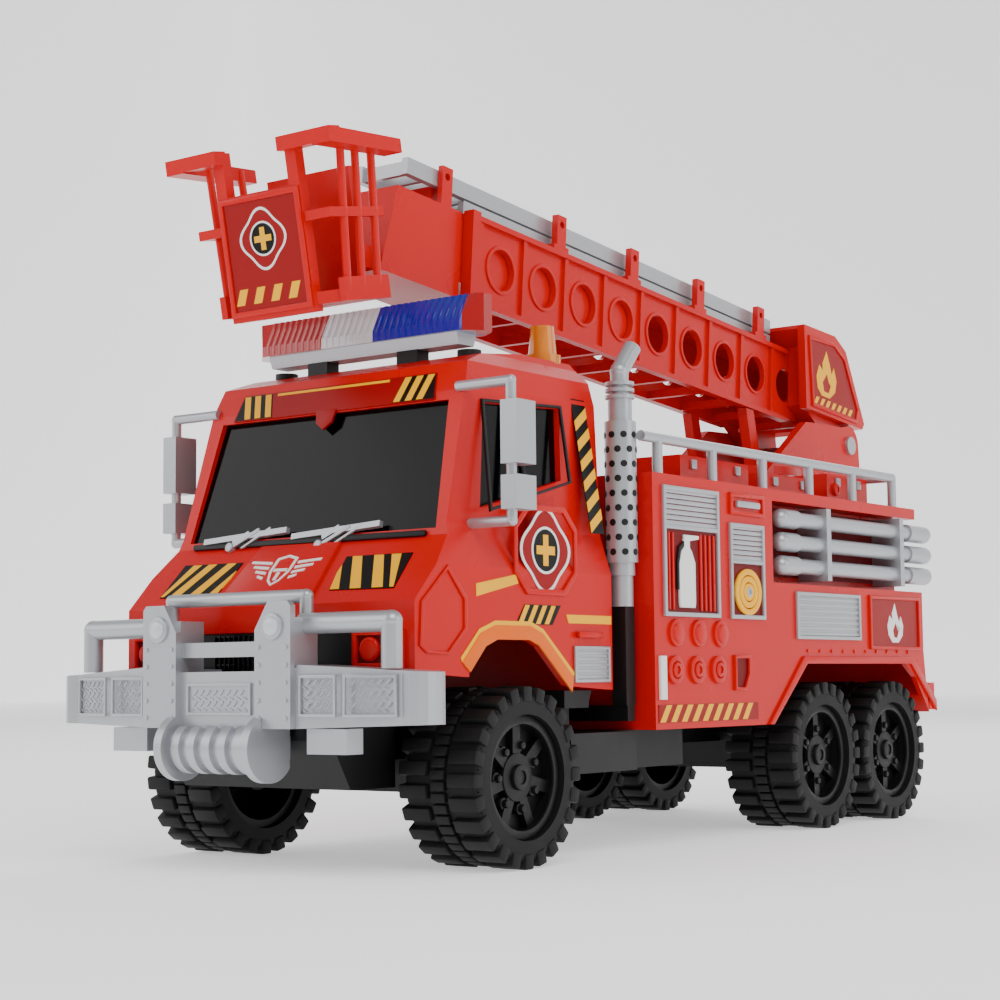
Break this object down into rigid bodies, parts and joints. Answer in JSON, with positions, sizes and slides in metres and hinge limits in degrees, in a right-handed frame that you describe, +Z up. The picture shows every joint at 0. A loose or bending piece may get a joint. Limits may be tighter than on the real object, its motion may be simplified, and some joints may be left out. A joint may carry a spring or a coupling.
{
  "type": "toy fire engine with ladder boom and basket",
  "caption": "Large toy fire truck: boxy cab and locker body on six wheels, with a turning, lifting and sliding ladder boom that ends in a tilting rescue basket.",
  "frame": {"origin": "on the floor, midway between the front of the winch and the rear of the boom housing, on the truck's centre plane", "axes": "+Z up, -Y towards the front of the truck, +X towards its left side"},
  "size_m": [0.1758, 0.4518, 0.2688],
  "materials": {
    "red_plastic": "glossy red ABS",
    "silver_plastic": "satin silver-painted plastic",
    "black_plastic": "matte black plastic",
    "window_black": "glossy black plastic",
    "tyre": "moulded soft tyre",
    "rim_plastic": "satin dark plastic",
    "steel": "plain steel rod",
    "lens_red": "tinted clear plastic",
    "lens_white": "white translucent plastic",
    "lens_blue": "tinted blue plastic",
    "lens_amber": "tinted amber plastic"
  },
  "bodies": {
    "truck": {"chassis": "black_plastic", "side_tanks": "black_plastic", "cab_shell": "red_plastic", "cab_windows": "window_black", "grille": "black_plastic", "wipers": "silver_plastic", "lamp_red": "lens_red", "lamp_white": "lens_white", "lamp_blue": "lens_blue", "lamp_base": "silver_plastic", "lamp_posts": "black_plastic", "beacon": "lens_amber", "mirror_left": "silver_plastic", "mirror_right": "silver_plastic", "bumper": "silver_plastic", "bumper_uprights": "silver_plastic", "guard_tubes": "silver_plastic", "bumper_boxes": "silver_plastic", "winch": "silver_plastic", "exhaust_left": "silver_plastic", "exhaust_right": "silver_plastic", "exhaust_brackets": "black_plastic", "body_shell": "red_plastic", "deck_lockers": "red_plastic", "rear_step": "red_plastic", "deck_rail": "silver_plastic", "side_tubes_left": "silver_plastic", "side_tubes_right": "silver_plastic", "pedestal": "red_plastic"},
    "front_wheels": {"front_tyres": "tyre", "front_rims": "rim_plastic", "front_axle": "steel"},
    "middle_wheels": {"middle_tyres": "tyre", "middle_rims": "rim_plastic", "middle_axle": "steel"},
    "rear_wheels": {"rear_tyres": "tyre", "rear_rims": "rim_plastic", "rear_axle": "steel"},
    "turntable": {"turntable": "red_plastic", "boom_pin": "steel"},
    "boom": {"outer_boom": "red_plastic", "boom_housing": "red_plastic", "lower_ladder": "silver_plastic", "ladder_clips": "red_plastic"},
    "inner_boom": {"inner_boom": "red_plastic", "upper_ladder": "silver_plastic", "front_clips": "red_plastic", "basket_pin": "steel"},
    "basket": {"basket": "red_plastic"}
  },
  "joints": [
    {"name": "front_wheels_roll", "type": "hinge", "parent": "truck", "child": "front_wheels", "pos_m": [0, -0.14324, 0.032], "axis": [1, 0, 0], "continuous": true},
    {"name": "middle_wheels_roll", "type": "hinge", "parent": "truck", "child": "middle_wheels", "pos_m": [0, 0.08076, 0.032], "axis": [1, 0, 0], "continuous": true},
    {"name": "rear_wheels_roll", "type": "hinge", "parent": "truck", "child": "rear_wheels", "pos_m": [0, 0.14876, 0.032], "axis": [1, 0, 0], "continuous": true},
    {"name": "turntable_turn", "type": "hinge", "parent": "truck", "child": "turntable", "pos_m": [0, 0.14176, 0.1635], "axis": [0, 0, 1], "continuous": true},
    {"name": "boom_lift", "type": "hinge", "parent": "turntable", "child": "boom", "pos_m": [0, 0.20776, 0.184], "axis": [-1, 0, 0], "range_deg": [0, 60]},
    {"name": "boom_slide", "type": "slide", "parent": "boom", "child": "inner_boom", "axis": [0, -0.9963, 0.0854], "range_m": [0, 0.11]},
    {"name": "basket_tilt", "type": "hinge", "parent": "inner_boom", "child": "basket", "pos_m": [0, -0.15824, 0.227], "axis": [1, 0, 0], "range_deg": [-30, 30]}
  ]
}
